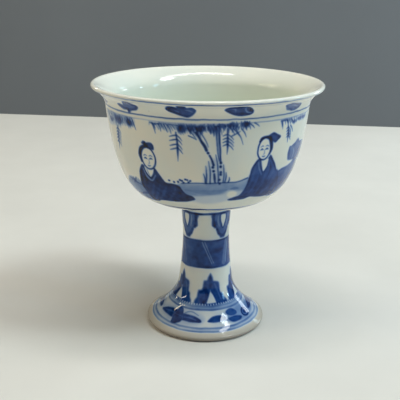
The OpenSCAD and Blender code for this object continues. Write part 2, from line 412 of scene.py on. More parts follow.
def grove_leaves(brush):
    """The leaves over the middle of a scene."""
    canopy(brush, [(-30.5, -24, 2.8, 0.62), (-25, -14, 3.5, 0.64)], breadth=0.36)
    canopy(brush, [(-15, 0, 4.8, 0.66), (-14, 6, 3.8, 0.6), (0.5, 5, 4.2, 0.6), (5, 10, 2.4, 0.7),
        (9, 16, 3.2, 0.7), (15, 22, 2.2, 0.7)])
    leaf_mass(brush, [(-12.6, 13.5, 2.8, 2.2, 0.85), (-7.4, 13, 2.6, 1.8, 0.7), (-3.2, 13.2, 2.6, 2.1, 0.75),
        (2.4, 13.4, 2.6, 2.3, 0.85), (7.2, 12, 2.4, 1.1, 0.75), (12.3, 11.9, 2.5, 1.4, 0.9),
        (19.3, 11.8, 2.4, 1.6, 1)])
    brush.stroke([(-30.5, 12), (-28, 12.3), (-25, 12)], (0.4, 0.8, 0.4), 0.6)
    brush.stroke([(-25.4, 11.8), (-20, 11.8), (-15, 12)], (0.3, 0.35, 0.5), 0.5)
    leaf_rays(brush, [((-29.2, 12), (-27.5, 16.2)), ((-25.5, 12), (-24.2, 15)), ((-22.5, 12), (-20.4, 15.2)),
        ((-20, 12.2), (-18.4, 15.6)), ((-10, 13), (-5.6, 17.2)), ((-9.4, 16), (-5.4, 17.6)),
        ((11, 12.5), (14.2, 15.6)), ((13, 13), (16.6, 16.2)), ((14.4, 13), (19, 19.7)),
        ((17.6, 13.4), (20.4, 16.8)), ((12.6, 16), (17, 14.2)), ((22, 11.6), (24.6, 13.4)),
        ((24.4, 11.3), (27.5, 12.9))], 0.5, 0.72)
    frond(brush.at(-15.8, 14.8), 12.2, 0.2, 4.2, 2.6, (1.2, 2.9, 4.9, 6.5))
    frond(brush.at(10.1, 13), 10.6, 0.5, 2.5, 3.2, (2.2, 3.6, 4.9, 6.3))


def bamboo_stalks(brush):
    """Stalks that break into joints and dots lower down, and blades."""
    brush.wash([(-1, 29), (4, 25), (9, 28), (12, 34), (11, 36.6), (-1, 36.6)], 0.12, soft=2)
    brush.stroke([(-5.6, 14.6), (-3, 18), (-1.3, 20), (-0.2, 21.8)], (0.9, 0.9, 1.1, 1.1), 0.9)
    brush.stroke([(-4, 13.8), (-0.8, 17.8), (0.6, 20.4)], (0.5, 0.4, 0.25), 0.66)
    brush.stroke([(1.5, 24), (2.7, 26), (3.6, 28.2)], (0.75, 0.7, 0.9), 0.96)
    brush.stroke([(4.1, 32), (4.6, 34), (5, 36)], (0.7, 0.85, 0.6), 0.9)
    brush.stroke([(5.1, 12), (5.5, 17), (6.2, 22), (7.1, 26.6)], (1.2, 1.2, 1, 0.8), 0.34)
    brush.stroke([(4.4, 12), (4.7, 17), (5.4, 22), (6.6, 26.4)], (0.45, 0.4, 0.35, 0.4), 0.7)
    brush.stroke([(5.9, 12), (6.3, 17), (6.9, 22), (7.4, 26.6)], (0.5, 0.6, 0.5, 0.5), 0.92)
    for dot in [(0.7, 22.9), (3.2, 29.1), (3.6, 30.8), (7.5, 27.2), (7.5, 28.8), (7.8, 31.2), (7.7, 32.2),
            (7.2, 34.7), (7.6, 36.5)]:
        brush.oval(dot, 0.72, 0.58, 1)
    leaf_rays(brush, [((6.8, 36), (4.7, 23.6)), ((9.6, 36), (9.1, 28)), ((10.6, 36), (10.8, 31.5)),
        ((0, 36.4), (-0.7, 28.5)), ((2.2, 36.4), (0.9, 26.5)), ((-0.6, 36.3), (-1.7, 32)),
        ((12.6, 36), (12.9, 33.8))], 0.5, 0.82)
    for dot in [(-15.5, 35.4), (-12.4, 35), (-11.2, 35.2), (-13.5, 36.5), (-10.4, 36.3), (-22.4, 36.2),
            (-14.4, 35.7), (-16.8, 36.3), (-19.4, 36.7), (-9.4, 35.6)]:
        brush.oval(dot, 0.65, 0.42, 0.95)


def ground(brush):
    """The edge of the bank, and a thin wash that runs out below it."""
    brush.wash([(-17, 37.2), (-8, 36.8), (2, 36.4), (13, 36.2), (20, 35.9), (25, 35.2), (26, 39), (23, 41),
        (14, 40.4), (10, 42.2), (2, 42.8), (-8, 43.2), (-17, 42)], 0.26, soft=1.2)
    brush.wash([(-17, 38), (4, 37.6), (20, 37), (26, 38), (25, 42.8), (15, 46), (8, 48), (0, 48.4),
        (-7, 47.4), (-14, 44)], 0.13, soft=3)
    brush.stroke([(-13, 40.2), (-4, 40.8), (5, 41), (12, 40)], (0.8, 2.2, 2.4, 0.8), 0.14)
    brush.stroke([(14.6, 39.6), (17.4, 39.2), (19.6, 39.4)], (0.5, 1.5, 0.6), 0.3)
    brush.clear(oval_points((16.2, 42.5), 3.3, 1.8), share=0.9, soft=1.1)
    brush.stroke([(-15, 36.9), (0, 36.4), (12, 36.2), (18, 36.1), (24.3, 34.8)], (0.3, 0.45, 0.4, 0.6), 0.82)


def scholar_head(brush, half_turn, half_down):
    """A head with a calm, plain face: eyes half way down, nose half way on to the chin, mouth a third on."""
    shape = oval_points((0, 0), half_turn, half_down)
    brush.clear(shape)
    brush.stroke(shape + shape[:2], (0.6, 0.62, 0.6), 1)
    for sides, line, widths, ink in [
            ((1,), [(0.03, 0.08), (0.1, 0.4), (-0.06, 0.48)], (0.2, 0.3, 0.25), 0.66),
            ((1,), [(-0.22, 0.66), (0, 0.7), (0.22, 0.66)], (0.25, 0.45, 0.25), 0.85),
            ((-1, 1), [(0.58, 0.04), (0.38, -0.02), (0.18, 0.05)], (0.3, 0.55, 0.3), 0.97),
            ((-1, 1), [(0.62, -0.2), (0.38, -0.29), (0.15, -0.22)], (0.25, 0.35, 0.2), 0.72)]:
        for side in sides:
            brush.stroke(np.array(line) * (side * half_turn, half_down), widths, ink)


def folds(brush, lines, share):
    """Paler folds in a robe."""
    for line in lines:
        brush.lift(line, (0.5, 1.4, 0.5), share)


def listening_scholar(brush):
    """The scholar at the left, who leans back."""
    robe = [(-39.5, 30.6), (-41.6, 32.2), (-43.4, 34.6), (-44.7, 38), (-45.6, 41), (-44.4, 44),
        (-43.4, 46.5), (-42.6, 48.6), (-41, 50.2), (-36.5, 49.6), (-33, 48.5), (-25, 48), (-15, 47.3),
        (-10, 46.2), (-7.4, 45.2), (-9, 43.5), (-13, 42.4), (-15, 40), (-16.2, 38.4), (-19, 37.7),
        (-24.5, 37.6), (-26.3, 36), (-28.2, 34), (-30.2, 31.9), (-32, 31.2), (-35, 32.4)]
    brush.clear(robe)
    brush.wash(robe, 0.89, rim=0.02)
    folds(brush, [[(-33, 38), (-37, 43), (-41, 48)], [(-29, 38.5), (-33, 43.5), (-38, 48.6)],
        [(-24.5, 39), (-28, 43), (-33, 47.4)], [(-19, 39.4), (-21, 43), (-26, 46.8)],
        [(-40, 34), (-42, 39), (-43.4, 44)]], 0.07)
    for line in [[(-41.2, 32.6), (-44, 38), (-45, 42.5)], [(-41, 49.4), (-33, 47.9), (-20, 47), (-9, 45.2)],
            [(-24.4, 38.2), (-19, 38.2), (-15.6, 40.6), (-13.4, 42.6)]]:
        brush.stroke(line, (0.4, 0.6, 0.4), 0.3)
    brush.oval((-16, 44), 5, 1.8, 0.15, soft=1.4)
    brush.clear([(-38.4, 31.4), (-37.4, 34.2), (-35, 36), (-32.6, 34.2), (-31.6, 31.6), (-35, 31)])
    brush.lift([(-39.6, 32.4), (-38, 36), (-34.6, 37.6), (-31, 34.8)], (0.4, 0.8, 0.4), 0.55)
    brush.stroke([(-38.6, 31.4), (-37.6, 34.4), (-35, 36.3), (-32.4, 34.4), (-31.2, 31.6)], (0.4, 0.5, 0.4),
        0.85)
    brush.stroke([(-36.6, 32.4), (-36.2, 34), (-35.4, 35.4)], (0.3, 0.4, 0.2), 0.6)
    head = brush.at(-34.2, 27.4)
    scholar_head(head, 4.9, 4.7)
    head.stroke([(-5.4, 1.9), (-5.8, -0.9), (-4.7, -3.5), (-2.6, -4.9), (0.2, -5.4)],
        (0.7, 1.6, 1.5, 1.2, 1), 1)
    head.wash([(-2.3, -5.9), (0.2, -6.7), (3.2, -6.8), (4.6, -5.7), (4.4, -4.1), (2.2, -4.3), (-0.3, -4.8)],
        0.78, rim=0.1)
    head.wash([(-3.6, -6.2), (-2.4, -7.3), (-0.6, -7.1), (-0.4, -6.1), (-1.8, -5.7)], 0.85)


def speaking_scholar(brush):
    """The scholar at the right, in a cap with a trailing end."""
    robe = [(29.8, 26.6), (27.2, 28.4), (25.9, 31), (25.4, 34), (24.9, 37), (24, 40), (21.5, 43.2),
        (17.5, 44.2), (14, 45.3), (16, 46.1), (25, 46.1), (28, 45.4), (30.5, 45.1), (35, 45.8), (41, 46.4),
        (47, 46.8), (52, 47), (52, 43), (50, 38.5), (48, 34.8), (44.6, 33), (42.8, 30.8), (40.3, 28),
        (37.6, 25.6), (36, 26.8), (33, 27.4)]
    brush.clear(robe)
    brush.wash(robe, 0.78, rim=0.09)
    brush.wash([(26, 33.4), (33, 34), (40, 37), (46, 38.6), (48, 45), (40, 45.6), (30, 44.6), (22, 45),
        (25, 39)], 0.3, soft=2)
    folds(brush, [[(28.5, 30), (27.8, 34), (26.6, 39)], [(31.5, 33), (30.6, 38), (28, 43)],
        [(36.5, 33), (36, 38), (33, 43.5)], [(41.5, 31), (42, 34), (40.5, 39)]], 0.09)
    for line in [[(29.4, 27.2), (26.6, 30), (25.8, 34), (24.4, 40)],
            [(37.8, 26.2), (41, 29.4), (44.4, 33.2)], [(15, 45.6), (22, 44.6), (29, 44.8)],
            [(38.4, 29), (39.4, 32), (38.6, 36)]]:
        brush.stroke(line, (0.5, 0.8, 0.5), 0.62)
    brush.clear([(31, 27.4), (36.6, 27.2), (36.3, 30.4), (34.4, 32.8), (32.6, 31)])
    for line in [[(30.8, 27.2), (32, 30.4), (34, 33.2)], [(36.9, 26.8), (36.6, 30.4), (34.8, 33)]]:
        brush.stroke(line, (0.45, 0.55, 0.35), 0.85)
    brush.lift([(29.6, 28.2), (31, 31.2), (33.4, 34.2)], (0.4, 0.6, 0.3), 0.4)
    head = brush.at(32.4, 22.6)
    scholar_head(head, 4.4, 4.7)
    head.stroke([(-3.8, -3.3), (-2.4, -4.7), (0.6, -5), (3, -4.5)], (0.6, 1, 1.1, 1.3), 1)
    head.wash([(1, -5.1), (2.6, -6), (4.8, -6.5), (7.6, -5.5), (10.4, -4.2), (8.6, -2.9), (7, -2.1),
        (5, -2.9), (3.2, -4.1)], 0.78, rim=0.16)
    head.stroke([(2.8, -4.3), (4.2, -2.1), (4.8, 0.3), (4.2, 2.5)], (1.3, 1.7, 1.4, 0.6), 1)


def garden_rock(brush):
    """The bank and the rock at the right."""
    brush.wash([(43, 33), (46.5, 34.2), (50, 33.5), (55, 33.1), (60, 32.3), (64, 31), (69, 32), (72, 37),
        (70, 42), (64, 45.6), (56, 47.3), (46, 46.8), (42, 40)], 0.64, soft=1, rim=0.1)
    brush.wash([(44, 35), (50, 36), (56, 38.4), (60, 43), (57, 46.6), (46, 46.4), (41, 40)], 0.36, soft=2.4)
    brush.wash([(53, 24.4), (55, 24), (57, 23.6), (59, 23), (61.5, 21.9), (64, 22.4), (66, 23.4), (72, 24),
        (76, 27), (75, 31), (67, 31.4), (61, 31.1), (54.2, 30), (52.7, 27.4)], 0.62, soft=0.6, rim=0.14)
    brush.stroke([(53.5, 24.4), (53.6, 27), (55, 29.4)], (1.2, 2.2, 1.4), 0.45)
    brush.stroke([(57.4, 23.8), (59.6, 24.4), (61, 22.8)], (0.6, 1, 0.6), 0.4)
    brush.lift([(58, 25.6), (60, 28), (59.6, 30.4)], (0.5, 1.4, 0.5), 0.3)
    brush.stroke([(45.6, 33.4), (47.4, 34.4), (50.4, 33.7), (56, 33.3)], (0.5, 0.9, 0.8, 0.3), 0.5)


def low_bank(brush):
    """Ground and grass at the left."""
    brush.wash([(-43, 41.6), (-49, 41.2), (-53, 39), (-57, 38.9), (-61, 40.6), (-66, 43.4), (-72, 46),
        (-76, 49), (-75, 53), (-64, 52), (-52, 50.6), (-42, 50.3), (-41, 46)], 0.42, soft=1.3, rim=0.06)
    brush.stroke([(-49.2, 38.2), (-51.4, 40), (-54.6, 42)], (0.5, 1.3, 0.5), 0.5)
    brush.stroke([(-52, 38.4), (-54, 39.6), (-57.4, 41.4)], (0.4, 0.8, 0.3), 0.3)
    brush.stroke([(-44, 45.8), (-52, 47.4), (-61, 50)], (1.2, 1.2, 0.4), 0.6)
    brush.stroke([(-42, 49.4), (-52, 50), (-64, 51)], (1, 1.4, 0.6), 0.42)
    brush.stroke([(-46, 41.4), (-53, 40.4), (-58, 39.4)], (0.5, 0.9, 0.4), 0.4)
    for number in range(5):
        start = -46.4 - 1.5 * number
        brush.stroke([(start, 41.2), (start - 0.3, 39.8), (start - 1.4, 38.4 + 0.2 * number)],
            (0.7, 0.6, 0.2), 0.5)


def side_leaves(brush):
    """Leaves that reach in from both sides."""
    brush.wash([(-72, 11.8), (-58, 11.6), (-42, 11.6), (-42, 14.4), (-50, 15.2), (-60, 16.4), (-70, 17)],
        0.2, soft=1.6)
    canopy(brush, [(-70, -44, 3.4, 0.56), (-60, -51, 5.4, 0.7), (-48, -42.5, 4.4, 0.8)])
    leaf_mass(brush, [(-45, 13.9, 2.8, 1.8, 0.7), (-55, 13.9, 4, 2.2, 0.66), (-64, 14.6, 3, 1.5, 0.55)])
    frond(brush.at(-57, 16.2), 11, -3.6, 2.2, 2.6, (1, 2.4, 3.8, 5.2, 6.8), 0.6)
    canopy(brush, [(41, 50, 2.6, 0.5), (48, 67, 2.2, 0.5)])
    leaf_mass(brush, [(53, 13.5, 2.6, 1, 0.6), (58.5, 12.8, 3, 0.9, 0.5), (64, 12.8, 3, 0.9, 0.45)])
    brush.stroke([(41.5, 11.8), (43.4, 11.9), (47, 12)], (0.6, 0.8, 0.5), 0.6)
    leaf_rays(brush, [((41.8, 12), (43.2, 15.4)), ((46, 12), (47.8, 14.8)), ((49.8, 14.6), (53, 17.6))], 0.6,
        0.6)
    frond(brush.at(47.6, 14.2), 7.6, 2, 1.6, 3, (0.8, 2, 3.2, 4.4))


def bowl_scene(brush):
    """Two scholars under bamboo, between a bank and a rock."""
    for motif in (low_bank, garden_rock, ground, side_leaves, grove_leaves, bamboo_stalks, listening_scholar,
            speaking_scholar):
        motif(brush)


def paint_bowl(painting):
    """The painting of the bowl; its back repeats the front, seen in a mirror."""
    front = Brush(painting, seed=11)
    bowl_scene(front)
    bowl_scene(Brush(painting, turn=180, side=-1, seed=23))
    neck_band(front)
    painting.ring(53.8, 1.7, 0.9)


# What is painted on the stem and the foot

def both_sides(half):
    """A line down one side, carried on up the other."""
    return half + [(-turn, down) for turn, down in half[::-1] if turn]


def lappet(brush):
    """A hanging lappet around a bare oval."""
    brush.wash(both_sides([(-28.6, 5.2), (-28.8, 8), (-28.4, 10.4), (-25.6, 11.4), (-21, 12), (-18, 13.1),
        (-16, 14.4), (-12, 15.4), (-8, 16.4), (-3, 17.1)]), 0.6, soft=0.6)
    brush.stroke(both_sides([(-24, 11), (-18, 12.2), (-13, 14), (-6, 15.6), (0, 16)]), (1, 1.3, 1.4, 1.3, 1),
        0.5)
    for side in (-1, 1):
        brush.stroke([(side * 26.6, 5.6), (side * 26.6, 8), (side * 26, 10.4)], (1.4, 1.4, 1.8), 0.62)
        brush.oval((side * 20, 9.8), 3.6, 1.3, 0.45, soft=0.9)
        for blot in [(23.4, 11.6), (17.4, 12.9), (12.2, 14.9), (5.6, 16.6)]:
            brush.oval((side * blot[0], blot[1]), 2.6, 0.5, 0.4, soft=0.5)
        brush.lift([(side * 15, 6.4), (side * 14.5, 9), (side * 11, 11.4)], (0.5, 0.9, 0.5), 0.3)
    oval = both_sides([(0, 12), (-4, 10.4), (-7, 8.6), (-8, 7), (-6, 5.9)])
    brush.stroke(oval + oval[:1], (1.3, 1.1, 1.3), 0.5)
    brush.clear(oval, share=0.95)


def zigzag_band(painting):
    """A solid band with fine lines scratched through it."""
    top, low = 17.7, 30.9
    painting.density[(painting.down > top) & (painting.down < low)] = 0.76
    painting.ring(top + 0.3, 0.8, 0.55)
    painting.ring(low - 0.4, 0.8, 0.35, waver=0.2)
    scratches = [((-9.5, 18.5), (14, 28.6), 0.4, 0.55), ((-3.2, 18.5), (18.4, 28.4), 0.4, 0.5),
        ((58, 19.4), (47.5, 29), 2.4, 0.3), ((62, 19.6), (53, 29), 0.4, 0.45),
        ((-63, 18.6), (-53, 28.7), 0.4, 0.4)]
    for turn in (0, 180):
        brush = Brush(painting, turn)
        for first, last, width, share in scratches:
            brush.lift([first, last], (width, width), share)
        for blot in [(22, 22.6), (31, 22.8), (40, 22.8)]:
            brush.oval(blot, 5, 1.1, 0.4, soft=1.2)
        brush.oval((-30, 26), 26, 4, 0.3, soft=3)
        brush.oval((-30, 20.4), 18, 2, 0.25, soft=2)


def stiff_leaf(brush):
    """An upright leaf with stepped edges around a bare heart."""
    brush.wash([(-26.6, 47.4), (-26.4, 44), (-25.6, 41.6), (-24, 40.9), (-17, 40.6), (-16, 38.6),
        (-14, 36.8), (-12.6, 36.5), (-6.4, 36.2), (-4.6, 35), (-2.4, 33.9), (0, 33.1), (2.6, 34), (4.8, 35),
        (6.4, 36.6), (11, 37), (17, 37.4), (19.6, 38.6), (20.4, 42), (24, 43), (25.6, 44.4), (26.4, 47.4)],
        0.8, soft=0.8)
    brush.stroke([(-20, 42), (-12, 40), (-8, 43.4), (-14, 46.6)], (1.2, 1.6, 1.6, 1), 0.4)
    brush.stroke([(0, 34.6), (1, 37), (-1, 40)], (0.6, 1.4, 1.4), 0.35)
    brush.lift([(9, 38), (14, 41), (19, 45.6)], (0.5, 1, 0.5), 0.16)
    brush.clear([(-0.6, 41.3), (0, 41.3), (-4.6, 44), (-8.4, 46.7), (-8, 46.9), (0, 46.9), (8, 46.9),
        (8.4, 46.7), (5, 44)], share=0.92)


def foot_rings(painting):
    """Beads and rings above the foot, and rings at its edge."""
    for ring in [(54.3, 8.6, 0.1), (47.4, 1, 0.5), (49, 2.8, 0.32), (48.5, 0.5, 0.25), (49.9, 0.6, 0.36),
            (59.4, 2.6, 0.2), (58.6, 0.8, 0.3), (60.25, 0.8, 0.3)]:
        painting.ring(*ring)
    beads = Brush(painting)
    count = 78
    for number in range(count):
        beads.clear(oval_points((360 / count * number, 47.5), 1.2, 0.36, 8), share=0.9)


def leafy_spray(brush):
    """A flower with a leaf on either side."""
    brush.oval((0, 54.4), 37, 3.7, 0.12, soft=1.8)
    for leaf in [
            [(-3, 52.6), (-12, 52.1), (-22, 53), (-30, 54.4), (-33.4, 55.5), (-27, 55.9),
             (-17, 56), (-4, 56)],
            [(4, 53), (13, 52.8), (23, 53), (30, 54), (33, 55), (31.6, 55.9), (22, 56.1),
             (12, 56), (4, 55.8)],
            [(-5, 54.6), (-4, 51.4), (-1.6, 50.2), (3, 50.4), (6, 52.2), (6.4, 54.6)],
            [(-6, 54.4), (-5.4, 57.2), (-4.4, 58.5), (0, 58.7), (4, 57.8), (8, 56.4), (7, 54.4)]]:
        brush.clear(leaf)
        brush.wash(leaf, 0.85, rim=0.04)
    brush.stroke([(9, 52.3), (14, 51.4), (21, 51.3), (29, 52.6)], (0.4, 0.55, 0.5, 0.3), 0.42)
    for vein in [[(10, 54.4), (18, 54.2), (26, 54.8)], [(-8, 53.8), (-16, 54), (-24, 54.8)]]:
        brush.lift(vein, (0.3, 0.6, 0.3), 0.3)


def budded_spray(brush):
    """A dark leaf, two paler petals and a round bud."""
    brush.oval((22, 54.2), 32, 3.8, 0.3, soft=1.8)
    brush.wash([(-31, 55.3), (-26, 53.4), (-21, 52.8), (-14, 52.7), (-7, 53.4), (-6, 55.2), (-14, 55.7),
        (-24, 55.8)], 0.78)
    brush.wash([(-4, 52), (2, 50.8), (9, 51), (14, 52.6), (12, 54), (2, 54)], 0.55, rim=0.12)
    brush.wash([(-3, 55), (6, 54.6), (13, 55.2), (18, 56.2), (12, 57.3), (1, 57)], 0.62, rim=0.12)
    brush.oval((27.4, 55.2), 7.2, 2.2, 0.76, rim=0.2)
    ring = oval_points((27.4, 55.1), 4.2, 1.2)
    brush.lift(ring + ring[:1], (0.4, 0.5, 0.4), 0.4)


def repeat(painting, motif, turns):
    for turn in turns:
        motif(Brush(painting, turn))


def paint_stem(painting):
    """The painting of the stem and the foot."""
    # Two faint, wide cobalt rings that tint the white of the stem darker: painted shade on the stem
    painting.ring(11, 13, 0.05)
    painting.ring(39, 15.6, 0.05)
    repeat(painting, lappet, (-50, 44, 136, 228))
    painting.ring(5.15, 1, 0.8)
    zigzag_band(painting)
    repeat(painting, stiff_leaf, (-56, 10.5, 75.5, 132.5, 190, 247))
    foot_rings(painting)
    repeat(painting, leafy_spray, (-38, 106, 250))
    repeat(painting, budded_spray, (34, 178))


# Meshes

scene = bpy.context.scene
QUARTER_WIDTH, QUARTER_HEIGHT = 0.492, 0.472  # on a map for baking that is 1 by 1
QUARTER_LEFT, QUARTER_LOW = 0.004, 0.524  # where the first quarter starts
QUARTER_DROP = 0.48  # down to the lower quarters
STRIP_HEIGHT, STRIP_LOW = 0.03, 0.002


def linked(name, data):
    """A new object in the scene."""
    thing = bpy.data.objects.new(name, data)
    scene.collection.objects.link(thing)
    return thing


def turned_mesh(name, rows, columns, sharp_rows):
    """A closed mesh turned from rows of (radius, height); an end on the axis becomes a single point."""
    has_poles = rows[0, 0] == 0 and rows[-1, 0] == 0
    rings = rows[1:-1] if has_poles else rows
    left = np.arange(columns)
    turn = left * 2 * math.pi / columns
    radius, height = rings[:, :1] * MM, rings[:, 1:] * MM
    places = np.stack([radius * np.sin(turn), -radius * np.cos(turn), height + 0 * turn], -1).reshape(-1, 3)
    upper = np.arange(len(rings) - has_poles)
    lower = (upper + 1) % len(rings)
    right = (left + 1) % columns
    ways_round = [(upper, left), (lower, left), (lower, right), (upper, right)]
    corners = [(ring[:, None] * columns + column).ravel() for ring, column in ways_round]
    faces = np.stack(corners, -1).tolist()
    if has_poles:
        first_pole, last_pole = len(places), len(places) + 1
        last = len(places) - columns
        places = np.vstack([places, [0, 0, rows[0, 1] * MM], [0, 0, rows[-1, 1] * MM]])
        sides = list(zip(left.tolist(), right.tolist()))
        faces += [(first_pole, a, b) for a, b in sides]
        faces += [(last_pole, last + b, last + a) for a, b in sides]
    mesh = bpy.data.meshes.new(name)
    mesh.from_pydata(places.tolist(), [], faces)
    mesh.polygons.foreach_set("use_smooth", np.ones(len(mesh.polygons), bool))
    ends = np.empty(2 * len(mesh.edges), np.int32)
    mesh.edges.foreach_get("vertices", ends)
    first_row, second_row = ends.reshape(-1, 2).T // columns
    sharp = (first_row == second_row) & np.isin(first_row, sharp_rows)
    mesh.attributes.new("sharp_edge", "BOOLEAN", "EDGE").data.foreach_set("value", sharp)
    mesh.update()
    return linked(name, mesh)


def painted_coat(node, name, columns, start, paint):
    """A glaze coat in place of a node, with cobalt painted under it."""
    shown, hidden = coat_faces(node)
    face = even_line(shown, RING_STEP)
    painting = Painting(face, columns, start)
    paint(painting)
    painting.fire(FIRING_SEED)
    rows = np.vstack([face, hidden[::-1]])
    piece = turned_mesh(name, rows, columns, [0, len(face) - 1, len(face), len(rows) - 1])
    density = np.vstack([painting.density, np.zeros((len(hidden), columns))])
    piece.data.attributes.new("cobalt", "FLOAT", "POINT").data.foreach_set("value", density.ravel())
    lay_out_for_baking(piece.data, len(face) - 1, len(rows), columns)
    finish_piece(piece, node, "painted_glaze")


def lay_out_for_baking(mesh, shown_rings, rings, columns):
    """A map for baking: the shown face in four quarters, and the hidden one in a strip below."""
    quarter = columns // 4
    ring = np.repeat(np.arange(rings), columns)[:, None]
    column = np.tile(np.arange(columns), rings)[:, None]
    down = ring + np.array([0, 1, 1, 0])
    across = np.array([0, 0, 1, 1])
    number = column // quarter
    shown = ring < shown_rings
    shown_right = 0.5 * (number % 2) + QUARTER_LEFT + QUARTER_WIDTH * (column % quarter + across) / quarter
    shown_up = QUARTER_LOW + QUARTER_HEIGHT * (1 - down / shown_rings) - QUARTER_DROP * (number // 2)
    hidden_up = STRIP_LOW + STRIP_HEIGHT * (down - shown_rings) / (rings - shown_rings)
    right = np.where(shown, shown_right, (column + across) / columns)
    up = np.where(shown, shown_up, hidden_up)
    layer = mesh.uv_layers.new(name="OFBake")
    layer.data.foreach_set("uv", np.stack([right, up], -1).ravel())


def finish_piece(piece, node, slot):
    """Sets a piece in the frame in place of a node, with the look of its slot."""
    piece.data.materials.append(looks[slot])
    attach(piece, "root")
    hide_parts(node)


# Materials

def linear(red, green, blue):
    """A screen colour, 0 to 255, turned into light."""
    shares = [value / 255 for value in (red, green, blue)]
    light = [share / 12.92 if share <= 0.04045 else ((share + 0.055) / 1.055) ** 2.4 for share in shares]
    return (*light, 1)


class Nodes:
    """A new material, and short ways to add nodes to it; a value may be another node's output."""

    def __init__(self, name):
        self.material = bpy.data.materials.new(name)
        self.material.use_nodes = True
        self.tree = self.material.node_tree
        self.shader = self.tree.nodes["Principled BSDF"]
        self.places = self.add("TexCoord", "Object", {})

    def fill(self, node, values):
        for name, value in values.items():
            if isinstance(value, bpy.types.NodeSocket):
                self.tree.links.new(value, node.inputs[name])
            else:
                node.inputs[name].default_value = value

    def add(self, kind, output, values, **settings):
        node = self.tree.nodes.new("ShaderNode" + kind)
        for name, setting in settings.items():
            setattr(node, name, setting)
        self.fill(node, values)
        return node.outputs[output]

    def noise(self, scale, detail=3, roughness=0.55, at=None):
        values = {"Vector": at or self.places, "Scale": scale, "Detail": detail, "Roughness": roughness}
        return self.add("TexNoise", "Fac", values)

    def math(self, operation, first, second):
        return self.add("Math", 0, {0: first, 1: second}, operation=operation)

    def ramp(self, value, stops):
        """A colour for a value, from stops of a place and a colour."""
        colour = self.add("ValToRGB", "Color", {"Fac": value})
        elements = colour.node.color_ramp.elements
        while len(elements) < len(stops):
            elements.new(0.5)
        for element, (place, *seen) in zip(elements, stops):
            element.position = place
            element.color = linear(*seen)
        return colour

    def range(self, value, low, high, to_low=0, to_high=1):
        values = {"Value": value, "From Min": low, "From Max": high, "To Min": to_low, "To Max": to_high}
        return self.add("MapRange", "Result", values)

    def mix(self, share, first, second):
        return self.add("Mix", "Result", {"Factor": share, "A": first, "B": second}, data_type="RGBA")

    def height(self):
        """Metres above the floor."""
        return self.add("SeparateXYZ", "Z", {"Vector": self.places})

    def bump(self, height, distance):
        normal = self.add("Bump", "Normal", {"Height": height, "Distance": distance, "Strength": 1})
        self.fill(self.shader, {"Normal": normal})

    def set(self, **values):
        self.fill(self.shader, {name.replace("_", " "): value for name, value in values.items()})


# Paler glaze for the lip: partly worn glaze, partly a painted highlight on the lip
GLAZE_LIP_AND_HIGHLIGHT = linear(238, 238, 228)
# Thin brownish glaze at the foot's edge, darkened further and carried higher up the foot as painted shade
GLAZE_THIN_AND_SHADE = linear(149, 136, 124)
GLAZE_CLOUD = linear(215, 224, 218)
SPECK = linear(112, 92, 72)
WHITE_STOPS = [(0.3, 220, 223, 214), (0.7, 230, 225, 209)]
INNER_STOPS = [(0, 201, 211, 195), (0.7, 217, 225, 210), (1, 232, 233, 222)]
CLAY_STOPS = [(0.3, 196, 180, 156), (0.7, 222, 210, 190)]
BURNT_STOPS = [(0.3, 60, 44, 32), (0.7, 100, 74, 54)]
SLIP_STOPS = [(0.3, 206, 194, 172), (0.7, 226, 216, 198)]
FLOOR_STOPS = [(0.3, 214, 213, 207), (0.7, 221, 220, 214)]
BACKDROP_STOPS = [(0.3, 106, 110, 115), (0.7, 112, 117, 122)]
COBALT_STOPS = [(0, 228, 226, 214), (0.16, 182, 195, 209), (0.4, 114, 142, 183), (0.62, 66, 98, 153),
                (0.78, 33, 72, 136), (0.9, 9, 42, 98), (0.96, 6, 29, 74), (1, 7, 13, 32)]
GLAZE_IOR = 1.35
# Metres above the floor between which a change of colour runs
LIP_OUTSIDE = (0.1098, 0.1104)
LIP_INSIDE = (0.1098, 0.1108)
INSIDE_DEPTH = (0.064, 0.108)
FOOT_EDGE = (0.0012, 0.0058)
BURNT_EDGE = (0.0006, 0.0032)


def glaze_skin(nodes):
    """A wet gloss over a faint ripple."""
    fine = nodes.math("MULTIPLY", nodes.noise(900, 2), 0.12)
    nodes.bump(nodes.math("ADD", nodes.noise(170, 2), fine), 0.000018)
    nodes.set(Roughness=nodes.range(nodes.noise(260), 0.3, 0.7, 0.015, 0.035), IOR=GLAZE_IOR)


def specked(nodes, colour):
    """A colour with tiny iron specks."""
    spots = nodes.add("TexVoronoi", "Distance", {"Vector": nodes.places, "Scale": 80})
    return nodes.mix(nodes.range(spots, 0.01, 0.02, 0.6, 0), colour, SPECK)


def painted_glaze():
    """Clear glaze over cobalt. It is creamy and paler at the lip, partly from worn glaze and partly as a
    painted highlight. It is thin and brown at the edge of the foot, and darkened further there as painted
    shade.
    """
    nodes = Nodes("painted_glaze")
    cobalt = nodes.add("Attribute", "Fac", {}, attribute_name="cobalt")
    stretched = nodes.add("Mapping", "Vector", {"Vector": nodes.places, "Scale": (1, 1, 1.6)})
    strength = nodes.range(nodes.noise(300, 4, 0.6, stretched), 0.25, 0.75, 0.95, 1.05)
    painted = nodes.ramp(nodes.math("MULTIPLY", cobalt, strength), COBALT_STOPS)
    body = nodes.ramp(nodes.noise(55), WHITE_STOPS)
    height = nodes.height()
    # The lip band is lighter in colour: partly worn glaze, partly a painted highlight
    lipped = nodes.mix(nodes.range(height, *LIP_OUTSIDE, 0, 0.9), body, GLAZE_LIP_AND_HIGHLIGHT)
    # Near the floor the glaze turns darker and browner: partly thin glaze, partly painted shade low on the
    # foot
    edged = nodes.mix(nodes.range(height, *FOOT_EDGE, 0.85, 0), lipped, GLAZE_THIN_AND_SHADE)
    under = nodes.mix(nodes.range(cobalt, 0, 0.12), edged, painted)
    nodes.set(Base_Color=specked(nodes, under))
    glaze_skin(nodes)
    return nodes.material


